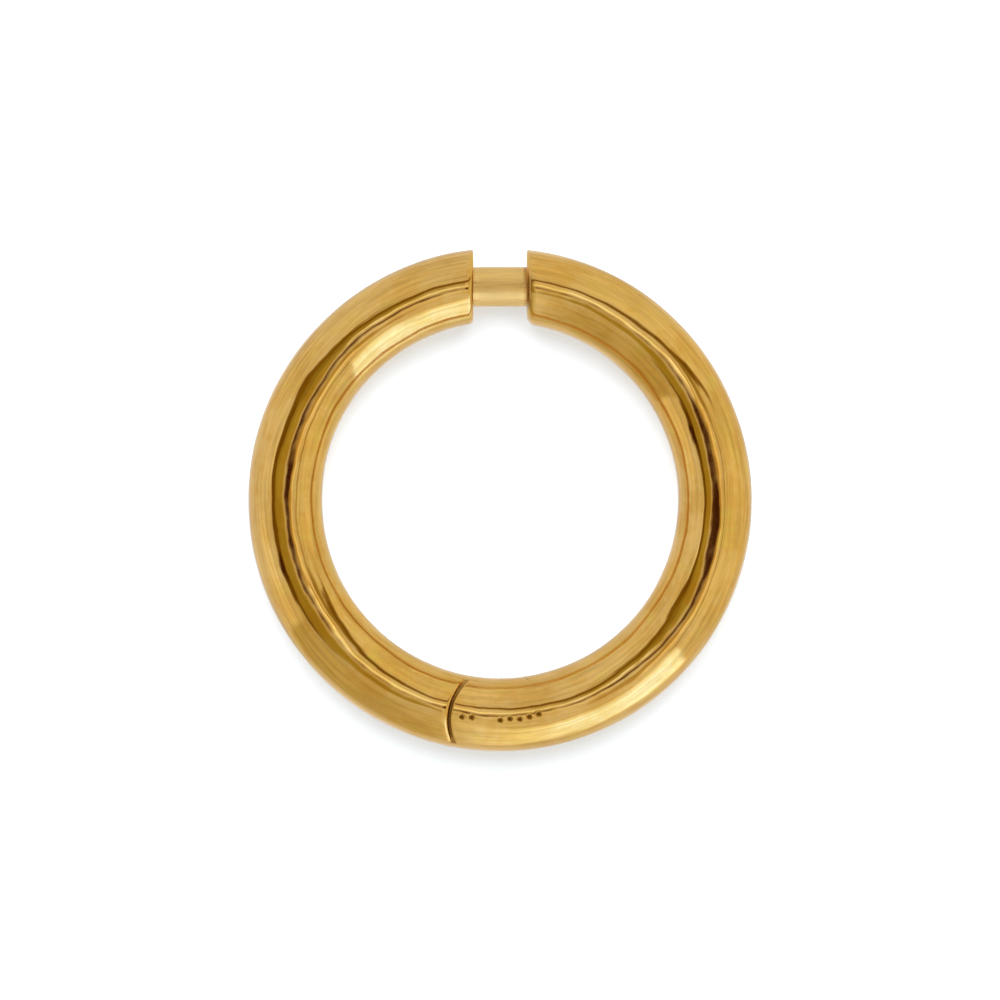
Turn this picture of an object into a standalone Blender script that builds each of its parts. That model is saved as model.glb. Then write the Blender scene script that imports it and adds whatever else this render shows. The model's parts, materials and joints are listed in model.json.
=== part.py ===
"""Hinged hoop earring of round tube, lying on its side.

The hoop's axis is +Z and the surface it lies on is z = 0. The gap with the ear post is at +Y and the
hinge is at -Y. The long arc runs round the +X side, the short arc round the -X side. The short arc
swings outwards about the hinge pin, which draws the ear post out of its socket in the long arc.

Azimuths are angles about +Z, in radians, measured anticlockwise from +Y as seen from above.
"""

import math

import bmesh
import bpy
from mathutils import Matrix, Vector

MM = 0.001

# Hoop
HOOP_DIAMETER = 20.0 * MM  # over the outside
TUBE_DIAMETER = 2.93 * MM
GAP = 2.11 * MM  # between the two flat end faces
RIM_ROUND = 0.10 * MM  # rounding round each end face

# Ear post, which stands in the short arc and reaches into a socket in the long arc
POST_DIAMETER = 1.57 * MM
POST_ROOT_DEPTH = 1.20 * MM
POST_REACH = 1.30 * MM
POST_TIP_ROUND = 0.35 * MM
POST_ROOT_CLEARANCE = 0.02 * MM
SOCKET_CLEARANCE = 0.10 * MM
SOCKET_END_CLEARANCE = 0.25 * MM

# Hinge: the long arc's round end turns inside the short arc's hollow end
PIN_SIDE = 0.16 * MM  # of the pin from the middle plane, towards the long arc
PIN_OUTSET = 0.20 * MM  # of the pin from the tube's centre line, away from the hoop's middle
PIN_DIAMETER = 0.70 * MM
PIN_HOLE_CLEARANCE = 0.02 * MM
PIN_RECESS = 0.14 * MM  # of the pin's lower end from the tube's underside
PIN_BLIND_DEPTH = 0.35 * MM  # of the pin's upper end in the upper cheek
PIN_END_CLEARANCE = 0.03 * MM
SEAM_RADIUS = 2.11 * MM  # of the long arc's round end, about the pin
SEAM_GAP = 0.10 * MM
TONGUE_THICKNESS = 1.40 * MM
TONGUE_SIDE_CLEARANCE = 0.05 * MM
TONGUE_END_RADIUS = 1.70 * MM  # about the tube's centre line beside the pin
TONGUE_END_CLEARANCE = 0.05 * MM
TONGUE_BORE_CLEARANCE = 0.05 * MM

# Fineness of the facets
TUBE_SIDES = 32
POST_SIDES = 24
RIM_STEPS = 2
TIP_STEPS = 3
STEP_ANGLE = math.radians(5)
SMOOTH_ANGLE = math.radians(35)

# Worked out from the sizes above
TUBE_RADIUS = TUBE_DIAMETER / 2
RING_RADIUS = HOOP_DIAMETER / 2 - TUBE_RADIUS
POST_RADIUS = POST_DIAMETER / 2
PIN_RADIUS = PIN_DIAMETER / 2
FACE_X = GAP / 2
FACE_AZIMUTH = math.asin(FACE_X / RING_RADIUS)
PIN_RING_RADIUS = RING_RADIUS + PIN_OUTSET
PIN_AZIMUTH = math.pi + math.asin(PIN_SIDE / PIN_RING_RADIUS)
SLOT_HALF_HEIGHT = TONGUE_THICKNESS / 2 + TONGUE_SIDE_CLEARANCE
CUTTER_REACH = 2 * TUBE_DIAMETER  # far enough to clear the tube on every side
POST_Y = math.sqrt(RING_RADIUS**2 - FACE_X**2)  # through the middle of both end faces
PIN_TOP = SLOT_HALF_HEIGHT + PIN_BLIND_DEPTH  # above half the tube's height


def polar(radius, azimuth):
    """Point at half the tube's height, at this distance from the hoop's axis."""
    return Vector((-radius * math.sin(azimuth), radius * math.cos(azimuth), TUBE_RADIUS))


PIN_CENTRE = polar(PIN_RING_RADIUS, PIN_AZIMUTH)
TONGUE_CENTRE = polar(RING_RADIUS, PIN_AZIMUTH)
POST_CENTRE = Vector((0, POST_Y, TUBE_RADIUS))


def clear_scene():
    for item in list(bpy.data.objects):
        bpy.data.objects.remove(item, do_unlink=True)


def metal(name, colour, roughness):
    material = bpy.data.materials.new(name)
    material.use_nodes = True
    shader = material.node_tree.nodes["Principled BSDF"]
    shader.inputs["Base Color"].default_value = (*colour, 1)
    shader.inputs["Metallic"].default_value = 1
    shader.inputs["Roughness"].default_value = roughness
    return material


def add_object(name, bm, origin, parent=None):
    """Make an object of a mesh drawn in world space, with its origin at the given point."""
    bmesh.ops.recalc_face_normals(bm, faces=bm.faces)
    bmesh.ops.translate(bm, verts=bm.verts, vec=-origin)
    mesh = bpy.data.meshes.new(name)
    bm.to_mesh(mesh)
    bm.free()
    item = bpy.data.objects.new(name, mesh)
    bpy.context.collection.objects.link(item)
    item.parent = parent
    item.location = origin - parent.location if parent else origin
    return item


def add_piece(name, bm, origin, material, parent=None):
    piece = add_object(name, bm, origin, parent)
    piece.data.materials.append(material)
    piece.data.shade_smooth()
    piece.data.set_sharp_from_angle(angle=SMOOTH_ANGLE)
    return piece


def cut(piece, name, bm):
    """Take the cutter's shape away from the piece. The cutter hangs where the piece hangs."""
    hung_from = piece.parent.location if piece.parent else Vector()
    cutter = add_object(name, bm, piece.location + hung_from, piece.parent)
    cutter.hide_render = True
    cutter.display_type = "WIRE"
    boolean = piece.modifiers.new(name, "BOOLEAN")
    boolean.operation = "DIFFERENCE"
    boolean.solver = "EXACT"
    boolean.object = cutter


def tube_arc(end_azimuth, face_x):
    """Round tube from the upright end face at x = face_x to a plain end at end_azimuth."""
    start_azimuth = math.copysign(FACE_AZIMUTH, end_azimuth)
    swept_angle = end_azimuth - start_azimuth
    corner_radius = TUBE_RADIUS / math.cos(math.pi / TUBE_SIDES)
    stand_up = (
        Matrix.Rotation(start_azimuth, 4, "Z")
        @ Matrix.Translation((0, RING_RADIUS, TUBE_RADIUS))
        @ Matrix.Rotation(math.pi / 2, 4, "Y")
        @ Matrix.Rotation(math.pi / TUBE_SIDES, 4, "Z")
    )
    bm = bmesh.new()
    bmesh.ops.create_circle(bm, segments=TUBE_SIDES, radius=corner_radius, matrix=stand_up)
    face_rim = bm.edges[:]
    face_corners = bm.verts[:]
    swept = bmesh.ops.spin(
        bm,
        geom=face_corners + face_rim,
        cent=(0, 0, 0),
        axis=(0, 0, 1),
        angle=swept_angle,
        steps=math.ceil(abs(swept_angle) / STEP_ANGLE),
    )
    far_rim = [item for item in swept["geom_last"] if isinstance(item, bmesh.types.BMEdge)]
    for corner in face_corners:
        # Each corner slides round its own circle into the upright plane of the end face
        radius = math.hypot(corner.co.x, corner.co.y)
        corner.co.x = face_x
        corner.co.y = math.sqrt(radius**2 - face_x**2)
    bmesh.ops.edgeloop_fill(bm, edges=far_rim)
    bmesh.ops.edgeloop_fill(bm, edges=face_rim)
    bmesh.ops.bevel(
        bm, geom=face_rim, offset=RIM_ROUND, segments=RIM_STEPS, profile=0.5, affect="EDGES"
    )
    return bm


def rod(start, end, radius):
    """Round rod between two points, with POST_SIDES sides."""
    length = end - start
    turn = Vector((0, 0, 1)).rotation_difference(length).to_matrix().to_4x4()
    bm = bmesh.new()
    bmesh.ops.create_cone(
        bm,
        cap_ends=True,
        segments=POST_SIDES,
        radius1=radius,
        radius2=radius,
        depth=length.length,
        matrix=Matrix.Translation((start + end) / 2) @ turn,
    )
    return bm


def half_round_prism(centre, radius, bulge, body, low, high):
    """Upright prism from height low to high, with a half circle as one side.

    The half circle bulges towards bulge and the block reaches towards body, each -1 or 1 along X.
    Where the two differ the prism has a round nose. Where they agree it has a round hollow.
    """
    steps = math.ceil(math.pi / STEP_ANGLE)
    turns = [math.pi * step / steps for step in range(steps + 1)]
    outline = [(bulge * radius * math.sin(turn), radius * math.cos(turn)) for turn in turns]
    outline.append((0, -CUTTER_REACH))
    outline.append((body * CUTTER_REACH, -CUTTER_REACH))
    outline.append((body * CUTTER_REACH, CUTTER_REACH))
    outline.append((0, CUTTER_REACH))
    bm = bmesh.new()
    floor = bm.faces.new([bm.verts.new((centre.x + x, centre.y + y, low)) for x, y in outline])
    raised = bmesh.ops.extrude_face_region(bm, geom=[floor], use_keep_orig=True)
    roof = [item for item in raised["geom"] if isinstance(item, bmesh.types.BMVert)]
    bmesh.ops.translate(bm, verts=roof, vec=(0, 0, high - low))
    return bm


def lift(point, height):
    """The same point at another height above half the tube's height."""
    return point + Vector((0, 0, height))


def post_point(x):
    return POST_CENTRE + Vector((x, 0, 0))


def overshoot(end_radius):
    """Angle that takes a tube's plain end clear of the half round that trims it."""
    return math.asin((end_radius + TUBE_RADIUS) / RING_RADIUS)


def add_long_arc(gold):
    end_azimuth = PIN_AZIMUTH - 2 * math.pi - overshoot(SEAM_RADIUS)
    piece = add_piece("long_arc", tube_arc(end_azimuth, FACE_X), Vector(), gold)
    low = TUBE_RADIUS - CUTTER_REACH
    high = TUBE_RADIUS + CUTTER_REACH
    cut(piece, "round_end_cutter", half_round_prism(PIN_CENTRE, SEAM_RADIUS, -1, -1, low, high))
    slot = half_round_prism(
        TONGUE_CENTRE,
        TONGUE_END_RADIUS + TONGUE_END_CLEARANCE,
        1,
        -1,
        TUBE_RADIUS - SLOT_HALF_HEIGHT,
        TUBE_RADIUS + SLOT_HALF_HEIGHT,
    )
    cut(piece, "slot_cutter", slot)
    pin_hole = rod(
        lift(PIN_CENTRE, -CUTTER_REACH),
        lift(PIN_CENTRE, PIN_TOP + PIN_END_CLEARANCE),
        PIN_RADIUS + PIN_HOLE_CLEARANCE,
    )
    cut(piece, "pin_hole_cutter", pin_hole)
    socket = rod(
        post_point(0),
        post_point(FACE_X + POST_REACH + SOCKET_END_CLEARANCE),
        POST_RADIUS + SOCKET_CLEARANCE,
    )
    cut(piece, "socket_cutter", socket)


def add_short_arc(gold, hinge):
    end_azimuth = PIN_AZIMUTH + overshoot(TONGUE_END_RADIUS)
    piece = add_piece("short_arc", tube_arc(end_azimuth, -FACE_X), PIN_CENTRE, gold, hinge)
    hollow_radius = SEAM_RADIUS + SEAM_GAP
    tongue_low = TUBE_RADIUS - TONGUE_THICKNESS / 2
    tongue_high = TUBE_RADIUS + TONGUE_THICKNESS / 2
    low = TUBE_RADIUS - CUTTER_REACH
    high = TUBE_RADIUS + CUTTER_REACH
    under_tongue = half_round_prism(PIN_CENTRE, hollow_radius, -1, 1, low, tongue_low)
    over_tongue = half_round_prism(PIN_CENTRE, hollow_radius, -1, 1, tongue_high, high)
    tongue_end = half_round_prism(TONGUE_CENTRE, TONGUE_END_RADIUS, 1, 1, low, high)
    tongue_bore = rod(
        lift(PIN_CENTRE, -TONGUE_THICKNESS),
        lift(PIN_CENTRE, TONGUE_THICKNESS),
        PIN_RADIUS + TONGUE_BORE_CLEARANCE,
    )
    post_hole = rod(
        post_point(-FACE_X - POST_ROOT_DEPTH - POST_ROOT_CLEARANCE),
        post_point(0),
        POST_RADIUS + POST_ROOT_CLEARANCE,
    )
    cut(piece, "under_tongue_cutter", under_tongue)
    cut(piece, "over_tongue_cutter", over_tongue)
    cut(piece, "tongue_end_cutter", tongue_end)
    cut(piece, "tongue_bore_cutter", tongue_bore)
    cut(piece, "post_hole_cutter", post_hole)


def add_ear_post(pale_gold, hinge):
    """Straight round wire with a rounded tip."""
    tip_x = FACE_X + POST_REACH
    bm = rod(post_point(-FACE_X - POST_ROOT_DEPTH), post_point(tip_x), POST_RADIUS)
    tip_face = max(bm.faces, key=lambda face: face.calc_center_median().x)
    bmesh.ops.bevel(
        bm,
        geom=tip_face.edges[:],
        offset=POST_TIP_ROUND,
        segments=TIP_STEPS,
        profile=0.5,
        affect="EDGES",
    )
    add_piece("ear_post", bm, POST_CENTRE, pale_gold, hinge)


def add_hinge_pin(gold):
    pin = rod(lift(PIN_CENTRE, PIN_RECESS - TUBE_RADIUS), lift(PIN_CENTRE, PIN_TOP), PIN_RADIUS)
    add_piece("hinge_pin", pin, PIN_CENTRE, gold)


def build():
    clear_scene()
    gold = metal("polished_gold", (0.79, 0.55, 0.20), 0.12)
    pale_gold = metal("satin_pale_gold", (0.80, 0.64, 0.36), 0.32)
    hinge = bpy.data.objects.new("hinge_axis", None)
    bpy.context.collection.objects.link(hinge)
    hinge.location = PIN_CENTRE
    add_long_arc(gold)
    add_hinge_pin(gold)
    add_short_arc(gold, hinge)
    add_ear_post(pale_gold, hinge)


build()
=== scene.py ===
"""Hinged hoop earring of round tube, lying on its side: fine surfaces, gold finishes and studio.

The hoop's axis is +Z and the surface it lies on is z = 0. The gap with the ear post is at +Y, the
hinge is at -Y, the long arc runs round the +X side and the short arc round the -X side.

Azimuths are angles about +Z, anticlockwise from +Y as seen from above. A point of the tube has an
azimuth and a tube angle, which is 0 on the hoop's outer side and a quarter turn on the crest.
"""

import json
import math
from collections import namedtuple

import bpy
import numpy as np
from bpy.props import FloatProperty, FloatVectorProperty, PointerProperty
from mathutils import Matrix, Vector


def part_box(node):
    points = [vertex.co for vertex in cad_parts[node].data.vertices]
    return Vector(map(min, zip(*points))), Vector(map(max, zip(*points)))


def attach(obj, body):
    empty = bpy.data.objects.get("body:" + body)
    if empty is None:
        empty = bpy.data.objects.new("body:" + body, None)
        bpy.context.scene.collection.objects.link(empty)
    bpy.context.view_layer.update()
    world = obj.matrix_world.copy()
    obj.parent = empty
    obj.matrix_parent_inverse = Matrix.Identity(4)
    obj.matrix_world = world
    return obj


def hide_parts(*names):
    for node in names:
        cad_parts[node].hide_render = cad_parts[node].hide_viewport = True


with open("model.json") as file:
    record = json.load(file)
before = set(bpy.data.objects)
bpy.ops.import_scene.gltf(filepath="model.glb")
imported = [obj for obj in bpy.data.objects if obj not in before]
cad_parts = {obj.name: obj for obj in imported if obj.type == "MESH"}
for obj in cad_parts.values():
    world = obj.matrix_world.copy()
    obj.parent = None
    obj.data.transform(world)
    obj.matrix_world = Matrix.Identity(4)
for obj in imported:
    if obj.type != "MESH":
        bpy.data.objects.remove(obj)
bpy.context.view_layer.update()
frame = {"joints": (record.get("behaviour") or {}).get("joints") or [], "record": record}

bl_info = {
    "name": "Hinged hoop earring",
    "version": (1, 0, 0),
    "blender": (4, 5, 0),
    "location": "3D View > Sidebar > Earring",
    "description": "Adds the tubes, ear post and hinge pin of a hinged hoop earring, and its studio",
    "category": "Add Mesh",
}

MM = 0.001

# Sizes and places that the frame gives
LONG_LOW, LONG_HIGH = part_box("long_arc")
SHORT_LOW, SHORT_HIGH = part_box("short_arc")
POST_LOW, POST_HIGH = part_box("ear_post")
PIN_LOW, PIN_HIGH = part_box("hinge_pin")
HINGE_PLACE = frame["joints"][0]["pos_m"]
MOUNTS = {mount["name"]: mount for mount in frame["record"]["mounts"]}
FACE_X = MOUNTS["socket_side_end_face"]["pos_m"][0]

# Fineness of the surfaces. The long arc's steps are finer from STAMP_SHARE of its length on, where
# the punch dots are.
TUBE_SIDES = 240
POST_SIDES = 128
RIM_STEPS = 10
TUBE_STEP = math.radians(1.0)
STAMP_STEP = math.radians(0.2)
STAMP_SHARE = 0.85
FACE_STEPS = 4
HOLE_RIM_STEPS = 5
END_STEPS = 24
TONGUE_STEPS = 60
TONGUE_END_STEPS = 16
TONGUE_FLAT_SIDES = 40
TONGUE_ARC_SIDES = 24
ROD_STEPS = 30
ROD_END_STEPS = 13
OUTLINE_SIDES = 96
SMOOTH_ANGLE = math.radians(30)


def length(name, description, default):
    """Property for a length, in metres, shown to a thousandth of a millimetre."""
    return FloatProperty(
        name=name, description=description, default=default, min=0.0, precision=6, unit="LENGTH"
    )


def share(name, description, default, high=1.0):
    return FloatProperty(name=name, description=description, default=default, min=0.0, max=high)


def angle(name, description, degrees):
    return FloatProperty(
        name=name,
        description=description,
        default=math.radians(degrees),
        subtype="ANGLE",
        unit="ROTATION",
    )


def colour(name, description, default):
    return FloatVectorProperty(
        name=name, description=description, default=default, size=3, min=0.0, max=1.0, subtype="COLOR"
    )


class HoopSizes(bpy.types.PropertyGroup):
    """Sizes of the two tubes and of the hinge between them."""

    hoop_diameter: length("Hoop", "Diameter over the outside", -2 * SHORT_LOW.x)
    tube_diameter: length("Tube", "Diameter of the tube", LONG_HIGH.z - LONG_LOW.z)
    face_x: length("End face", "Distance of each end face from the middle plane", FACE_X)
    rim_outer: length("Outer rim", "Rounding of the end faces on the outer side", 0.09 * MM)
    rim_crest: length("Crest rim", "Rounding of the end faces on the crest", 0.22 * MM)
    rim_drop: length("Socket rim drop", "Drop of the socket's end face rounding on the crest", 0.36 * MM)
    rim_inner_short: length("Inner rim, short arc", "Rounding on the inner side", 0.17 * MM)
    rim_inner_long: length("Inner rim, long arc", "Rounding on the inner side", 0.34 * MM)
    hole_rim: length("Hole rim", "Rounding round the holes in the end faces", 0.03 * MM)
    seam_radius: length("Seam", "Radius of the long arc's round end", HINGE_PLACE[0] - LONG_LOW.x)
    seam_gap: length("Seam gap", "Gap between the round end and the hollow end", 0.10 * MM)
    round_end_lip: length("Round end lip", "Rounding of the long arc's seam edge", 0.05 * MM)
    hollow_end_lip: length("Hollow end lip", "Rounding of the short arc's seam edge", 0.16 * MM)
    tongue_thickness: length("Tongue", "Thickness of the tongue", 1.40 * MM)
    tongue_sink: length("Tongue sink", "Depth of the tongue below the tube's skin", 0.007 * MM)
    slot_clearance: length("Slot clearance", "Between the tongue and its slot", 0.008 * MM)
    bore_clearance: length("Bore clearance", "Between the pin and the tongue", 0.05 * MM)
    pin_clearance: length("Pin clearance", "Between the pin and the long arc", 0.02 * MM)
    pin_end_clearance: length("Pin end clearance", "Above the pin's upper end", 0.03 * MM)
    wave_height: length("Polish waves", "Height of the waves that polishing leaves", 0.005 * MM)
    stamp_depth: length("Punch dots", "Depth of the plain punch dots by the seam", 0.045 * MM)


class PostSizes(bpy.types.PropertyGroup):
    """Sizes of the ear post, of the holes that it stands in and of the hinge pin."""

    post_diameter: length("Post", "Diameter of the ear post", POST_HIGH.z - POST_LOW.z)
    root_x: length("Root", "Distance of the post's root from the middle plane", -POST_LOW.x)
    tip_x: length("Tip", "Distance of the post's tip from the middle plane", POST_HIGH.x)
    tip_round: length("Tip rounding", "Rounding of the post's tip", 0.35 * MM)
    root_clearance: length("Root clearance", "Round the post's root and under it", 0.02 * MM)
    socket_clearance: length("Socket clearance", "Between the post and its socket", 0.10 * MM)
    socket_end_clearance: length("Socket depth", "Beyond the post's tip", 0.25 * MM)
    polished_band: length("Polished band", "Width of the bright band at each end", 0.30 * MM)
    pin_diameter: length("Pin", "Diameter of the hinge pin", PIN_HIGH.x - PIN_LOW.x)
    pin_low: length("Pin foot", "Height of the pin's lower end", PIN_LOW.z)
    pin_high: length("Pin head", "Height of the pin's upper end", PIN_HIGH.z)
    pin_round: length("Pin rounding", "Rounding of the pin's ends", 0.06 * MM)


class GoldFinishes(bpy.types.PropertyGroup):
    """Colours and polish of the metal."""

    gold: colour("Gold", "Colour of the polished gold", (0.75, 0.47, 0.142))
    deep_gold: colour("Deep gold", "Redder clouds in the polished gold", (0.69, 0.395, 0.09))
    green_gold: colour("Green gold", "Greener clouds in the polished gold", (0.70, 0.475, 0.10))
    # Colour of the painted shade in the seam, in the punch dots and at the end faces' rims
    recess_gold: colour("Dark gold", "Gold deep in the seam and the punch dots", (0.17, 0.065, 0.005))
    pale_gold: colour("Pale gold", "Colour of the satin ear post", (0.87, 0.575, 0.20))
    # Colour of the painted shade on the ear post by the socket's mouth
    crevice_gold: colour("Crevice gold", "Gold of the ear post by the socket", (0.42, 0.20, 0.03))
    polish: share("Polish", "Roughness of the polished gold", 0.08)
    inner_haze: share("Inner haze", "Roughness added towards the hoop's inner side", 0.09)
    satin: share("Satin", "Roughness of the ear post's middle", 0.37)
    brushed: share("Brushed", "Roughness of the ear post by the end faces", 0.24)


class StudioSettings(bpy.types.PropertyGroup):
    """Camera, floor and light."""

    lens: FloatProperty(name="Lens", description="Focal length in millimetres", default=300.0, min=1.0)
    view_width: length("View width", "Width that the camera sees at half the tube's height", 39.72 * MM)
    room_light: share("Room", "Light of the room's walls", 0.86, 10.0)
    fill_light: share("Fill light", "Strength of the shadowless light straight above", 1.65, 20.0)
    top_light: share("Top light", "Strength of the wide light straight above", 1.2, 20.0)
    top_light_spread: angle("Top light spread", "Angle that the top light fills", 178)
    side_light: share("Side light", "Strength of the light from the gap's side", 2.7, 20.0)
    side_light_tilt: angle("Side light tilt", "Angle of the side light from straight above", 30)
    side_light_spread: angle("Side light spread", "Angle that the side light fills", 50)
    light_tint: colour(
        "Light tint", "Cool tint that balances the gold's glow on the floor", (0.88, 0.945, 1.0)
    )


# The waves in the polish: share of their height, how often each goes round the tube and round the
# hoop, and its phase
Wave = namedtuple("Wave", "share around along phase")
WAVES = (
    Wave(share=0.9, around=2, along=3, phase=0.4),
    Wave(share=1.0, around=3, along=-7, phase=1.9),
    Wave(share=0.5, around=5, along=11, phase=4.1),
    Wave(share=0.35, around=7, along=-16, phase=2.6),
    Wave(share=0.2, around=9, along=29, phase=5.2),
    Wave(share=0.12, around=11, along=-47, phase=0.9),
    Wave(share=0.08, around=13, along=83, phase=3.3),
)

# Stretches of the tube that wear and polishing have flattened, or left fuller where the depth is
# negative: their middle and half length in degrees of azimuth, their half width in degrees round the
# tube, the ripple's count, their centre in degrees from the crest inwards, and the depth
Flat = namedtuple("Flat", "middle half_length half_width ripple centre depth")
FLATS = (
    Flat(middle=85, half_length=45, half_width=60, ripple=4, centre=0, depth=0.022 * MM),
    Flat(middle=-100, half_length=16, half_width=21, ripple=8, centre=0, depth=0.013 * MM),
    Flat(middle=28, half_length=25, half_width=26, ripple=4, centre=37, depth=0.020 * MM),
    Flat(middle=-155, half_length=25, half_width=26, ripple=4, centre=-37, depth=-0.016 * MM),
)
# Stretches of the crest that are worn lower on the outer side, or on the inner side where the depth
# is negative: their middle and half length in degrees of azimuth, their centre in degrees from the
# crest inwards, and the depth
Step = namedtuple("Step", "middle half_length centre depth")
STEPS = (
    Step(middle=-78, half_length=21, centre=5, depth=0.013 * MM),
    Step(middle=-128, half_length=10, centre=-4, depth=-0.010 * MM),
)
# How far round the tube a step's slope and the whole step reach
STEP_WIDTH = math.radians(7)
STEP_REACH = math.radians(70)

# Plain punch dots in a row along the crest, by their distance from the seam and out from the crest
STAMP_RADIUS = 0.12 * MM
STAMP_PLACES = np.array((0.42, 0.80, 1.92, 2.30, 2.68, 3.06, 3.44)) * MM
STAMP_OUTSETS = np.array((0.17, 0.13, 0.17, 0.12, 0.16, 0.11, 0.06)) * MM

# How far round the hoop the tongue goes past the pin into the short arc
TONGUE_ROOT = math.radians(25)
# Rounding of the ear post's root
ROOT_ROUND = 0.02 * MM

# Painted shade in the seam's gap: where it starts and is full by depth below the tube's skin, how far
# from the pin, and how dark. It fades towards the hoop's two sides, and a little more inwards, by shares
# of the tube's radius.
SEAM_SHADE = (0.06 * MM, 0.22 * MM)
SEAM_REACH = 2.7 * MM
SEAM_SHADE_TONE = 0.7
SEAM_SIDE_FADE = (0.68, 0.88)
SEAM_INNER_FADE = (0.1, 0.6)
SEAM_INNER_LOSS = 0.4
# Painted shade at the rims of the two end faces: width along the tube, how dark, the share of the width
# that is fully dark, and the shares of the tube's radius over which it fades outwards and inwards
SOCKET_RIM_REACH = 0.27 * MM
SOCKET_RIM_SHADE = 0.6
ROOT_RIM_REACH = 0.08 * MM
ROOT_RIM_SHADE = 0.3
RIM_FULL = 0.4
RIM_OUTER_FADE = (0.15, 0.45)
RIM_INNER_FADE = (0.45, 0.8)
# Where the painted shade in a punch dot starts and is full, by shares of its depth
STAMP_SHADE = (0.02, 0.35)


def derived(context):
    """Radii and places that follow from the sizes, as one record."""
    hoop = context.scene.hoop_sizes
    tube = hoop.tube_diameter / 2
    ring = hoop.hoop_diameter / 2 - tube
    pin_x, pin_y, _ = HINGE_PLACE
    pin_ring = math.hypot(pin_x, pin_y)
    pin_azimuth = math.pi + math.asin(pin_x / pin_ring)
    seam_cosine = (ring**2 + pin_ring**2 - hoop.seam_radius**2) / (2 * ring * pin_ring)
    round_end_azimuth = pin_azimuth - math.acos(seam_cosine) - 2 * math.pi
    return {
        "tube": tube,
        "ring": ring,
        "pin_ring": pin_ring,
        "pin_azimuth": pin_azimuth,
        "post_y": math.sqrt(ring**2 - hoop.face_x**2),
        "tongue_end": SHORT_HIGH.x - pin_x * ring / pin_ring,
        "stamp_seam": round_end_azimuth,
    }


def place(ring, tube, out, up, azimuth):
    """Points at a distance out of the tube's centre line and up from it, at an azimuth.

    x = -(ring + out) sin(azimuth), y = (ring + out) cos(azimuth), z = tube + up.
    """
    reach = ring + out
    up = np.broadcast_to(up, np.broadcast_shapes(np.shape(reach), np.shape(azimuth)))
    return np.stack([-reach * np.sin(azimuth), reach * np.cos(azimuth), tube + up], axis=-1)


def closed_mesh(name, first_pole, rings, last_pole):
    """Mesh of rings of points, joined in order by quads and closed by a fan at each end.

    If the sum of the signed volumes under the faces is negative, every face is turned round.
    """
    count, sides = rings.shape[:2]
    points = np.concatenate([[first_pole], rings.reshape(-1, 3), [last_pole]])
    start = 1 + np.arange(count)[:, None] * sides
    side = np.arange(sides)[None, :]
    here = start + side
    beside = start + (side + 1) % sides
    quads = np.stack([here[:-1], beside[:-1], beside[1:], here[1:]], axis=-1).reshape(-1, 4)
    first_fan = np.stack([np.zeros(sides, int), beside[0], here[0]], axis=-1)
    last_fan = np.stack([np.full(sides, len(points) - 1), here[-1], beside[-1]], axis=-1)
    middle = points.mean(axis=0)
    corners = points[quads] - middle
    volume = np.einsum("ij,ij->", corners[:, 0], np.cross(corners[:, 1], corners[:, 2]))
    volume += np.einsum("ij,ij->", corners[:, 0], np.cross(corners[:, 2], corners[:, 3]))
    turn = -1 if volume < 0 else 1
    faces = quads[:, ::turn].tolist() + first_fan[:, ::turn].tolist() + last_fan[:, ::turn].tolist()
    mesh = bpy.data.meshes.new(name)
    mesh.from_pydata(points.tolist(), [], faces)
    mesh.validate()
    return mesh


def add_object(name, mesh):
    item = bpy.data.objects.new(name, mesh)
    bpy.context.scene.collection.objects.link(item)
    return item


def combine(item, operation, meshes):
    """Cut each closed mesh out of the item, or join it on, and keep only the result."""
    helpers = [add_object(mesh.name, mesh) for mesh in meshes]
    for helper in helpers:
        boolean = item.modifiers.new(helper.name, "BOOLEAN")
        boolean.operation = operation
        boolean.solver = "EXACT"
        boolean.object = helper
    bpy.context.view_layer.update()
    evaluated = item.evaluated_get(bpy.context.evaluated_depsgraph_get())
    result = bpy.data.meshes.new_from_object(evaluated)
    item.modifiers.clear()
    old = item.data
    item.data = result
    result.name = item.name
    bpy.data.meshes.remove(old)
    for helper in helpers:
        shape = helper.data
        bpy.data.objects.remove(helper)
        bpy.data.meshes.remove(shape)


def prism(name, outline, low, high):
    """Upright prism over a closed outline of x and y."""
    count = len(outline)
    heights = np.repeat([low, high], count)
    points = np.column_stack([np.tile(outline, (2, 1)), heights])
    here = np.arange(count)
    beside = (here + 1) % count
    walls = np.stack([here, beside, beside + count, here + count], axis=-1).tolist()
    area = np.sum(outline[:, 0] * np.roll(outline[:, 1], -1) - outline[:, 1] * np.roll(outline[:, 0], -1))
    floor = here[::-1].tolist()
    roof = (here + count).tolist()
    faces = [floor, roof] + walls
    if area < 0:
        faces = [face[::-1] for face in faces]
    mesh = bpy.data.meshes.new(name)
    mesh.from_pydata(points.tolist(), [], faces)
    return mesh


def circle(centre_x, centre_y, radius):
    turn = np.linspace(0, 2 * math.pi, OUTLINE_SIDES, endpoint=False)
    return np.column_stack([centre_x + radius * np.cos(turn), centre_y + radius * np.sin(turn)])


def nose(centre_x, centre_y, radius, reach):
    """Outline with a half circle towards +X and a block that reaches towards -X."""
    turn = np.linspace(-math.pi / 2, math.pi / 2, OUTLINE_SIDES)
    arc = np.column_stack([radius * np.cos(turn), radius * np.sin(turn)])
    block = np.array([(0, reach), (-reach, reach), (-reach, -reach), (0, -reach)])
    return np.concatenate([arc, block]) + (centre_x, centre_y)


def side_blend(tube_angle, crest, outer, inner):
    """Value that is crest on top and below, outer on the outer side and inner on the inner side."""
    across = np.cos(tube_angle)
    outwards = np.clip(across, 0, 1) ** 2
    inwards = np.clip(-across, 0, 1) ** 2
    return crest + (outer - crest) * outwards + (inner - crest) * inwards


def waves(tube_angle, azimuth, height):
    """Sum of a few long cosine waves that run round the tube and along it."""
    total = sum(
        wave.share * np.cos(wave.around * tube_angle + wave.along * azimuth + wave.phase) for wave in WAVES
    )
    return height * total


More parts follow.
